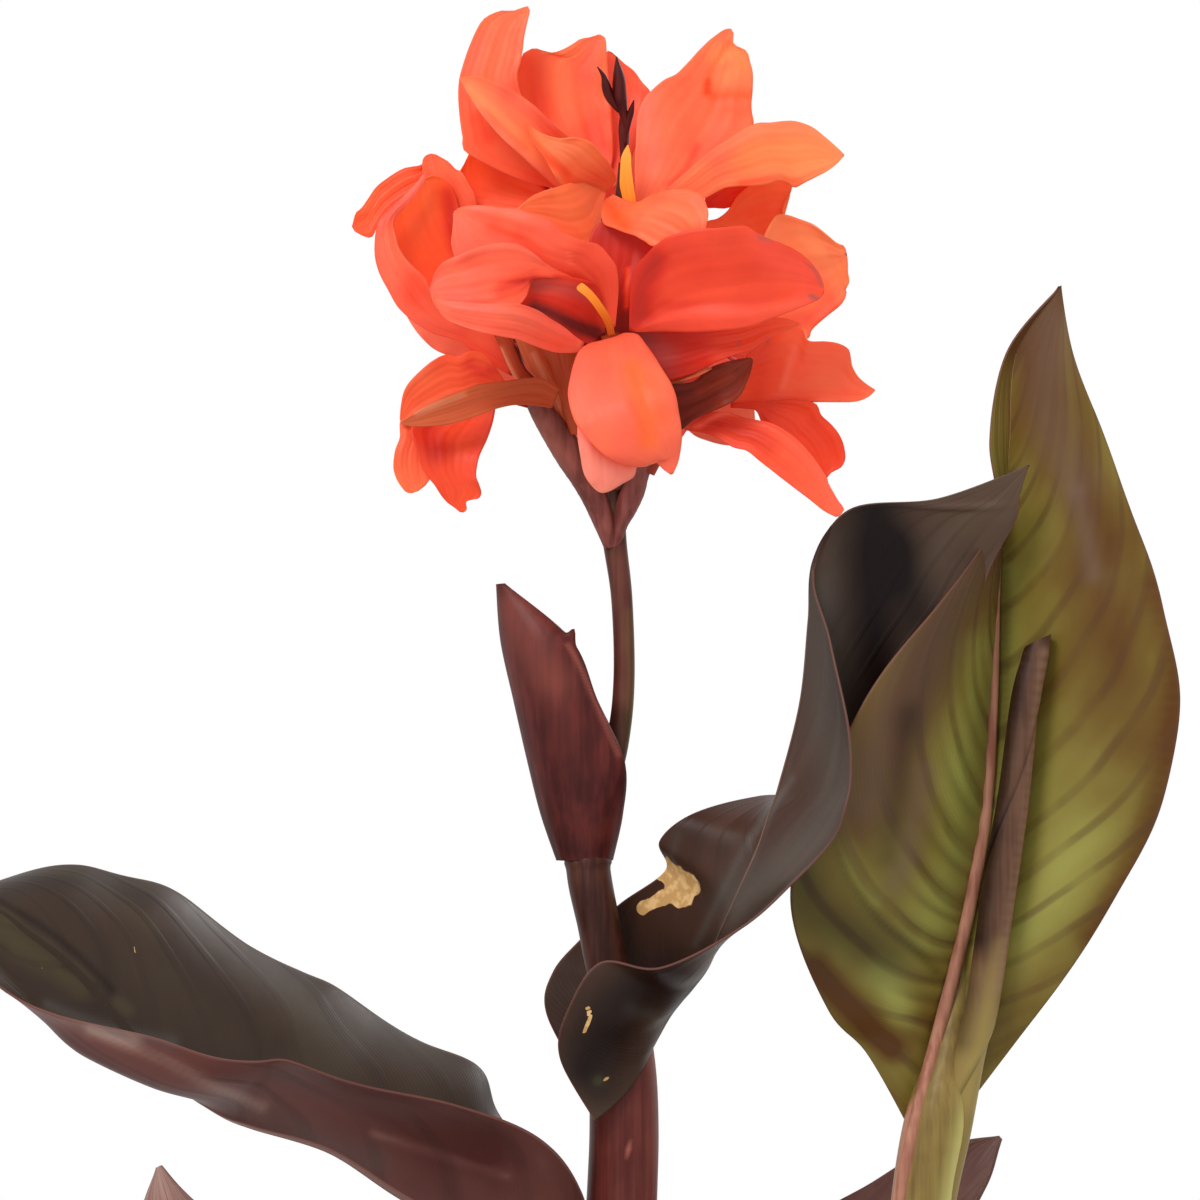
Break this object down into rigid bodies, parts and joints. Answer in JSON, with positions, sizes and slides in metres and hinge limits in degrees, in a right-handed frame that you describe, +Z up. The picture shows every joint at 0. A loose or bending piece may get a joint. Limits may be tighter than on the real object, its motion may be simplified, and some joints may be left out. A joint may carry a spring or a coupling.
{
  "type": "potted canna lily plant",
  "caption": "Bronze-leaved canna lily in a plain round pot: a flowering stalk with a head of ruffled orange-red flowers and a leafy shoot.",
  "frame": {"origin": "middle of the pot's flat base, where it stands on the ground", "axes": "+Z up along the plant; -Y faces the viewer of the flower head's front; +X is to that viewer's right"},
  "size_m": [0.5452, 0.315, 0.7713],
  "materials": {
    "pot": "satin",
    "soil": "matte",
    "stalk": "satin",
    "bract": "satin",
    "leaf_bronze": "satin",
    "leaf_green": "satin",
    "leaf_rolled": "satin",
    "petal": "satin",
    "ovary": "matte",
    "style": "satin"
  },
  "bodies": {
    "root": {"pot": "pot", "soil": "soil", "stalk": "stalk", "bract": "bract", "leaf_upright": "leaf_green", "leaf_rolled": "leaf_rolled", "leaf_twisted": "leaf_bronze", "leaf_left": "leaf_bronze", "leaf_low_left": "leaf_bronze", "leaf_low_right": "leaf_bronze", "leaf_front_right": "leaf_bronze", "leaf_back_left": "leaf_bronze", "leaf_back_right": "leaf_bronze", "ovary_front": "ovary", "bloom_front": "petal", "style_front": "style", "ovary_top_right": "ovary", "bloom_top_right": "petal", "style_top_right": "style", "ovary_top_left": "ovary", "bloom_top_left": "petal", "style_top_left": "style", "ovary_left": "ovary", "bloom_left": "petal", "style_left": "style", "ovary_low_left": "ovary", "bloom_low_left": "petal", "style_low_left": "style", "ovary_low_right": "ovary", "bloom_low_right": "petal", "style_low_right": "style", "ovary_right": "ovary", "bloom_right": "petal", "style_right": "style", "ovary_back_top": "ovary", "bloom_back_top": "petal", "style_back_top": "style", "ovary_back_left": "ovary", "bloom_back_left": "petal", "style_back_left": "style", "ovary_back_right": "ovary", "bloom_back_right": "petal", "style_back_right": "style"}
  },
  "joints": []
}
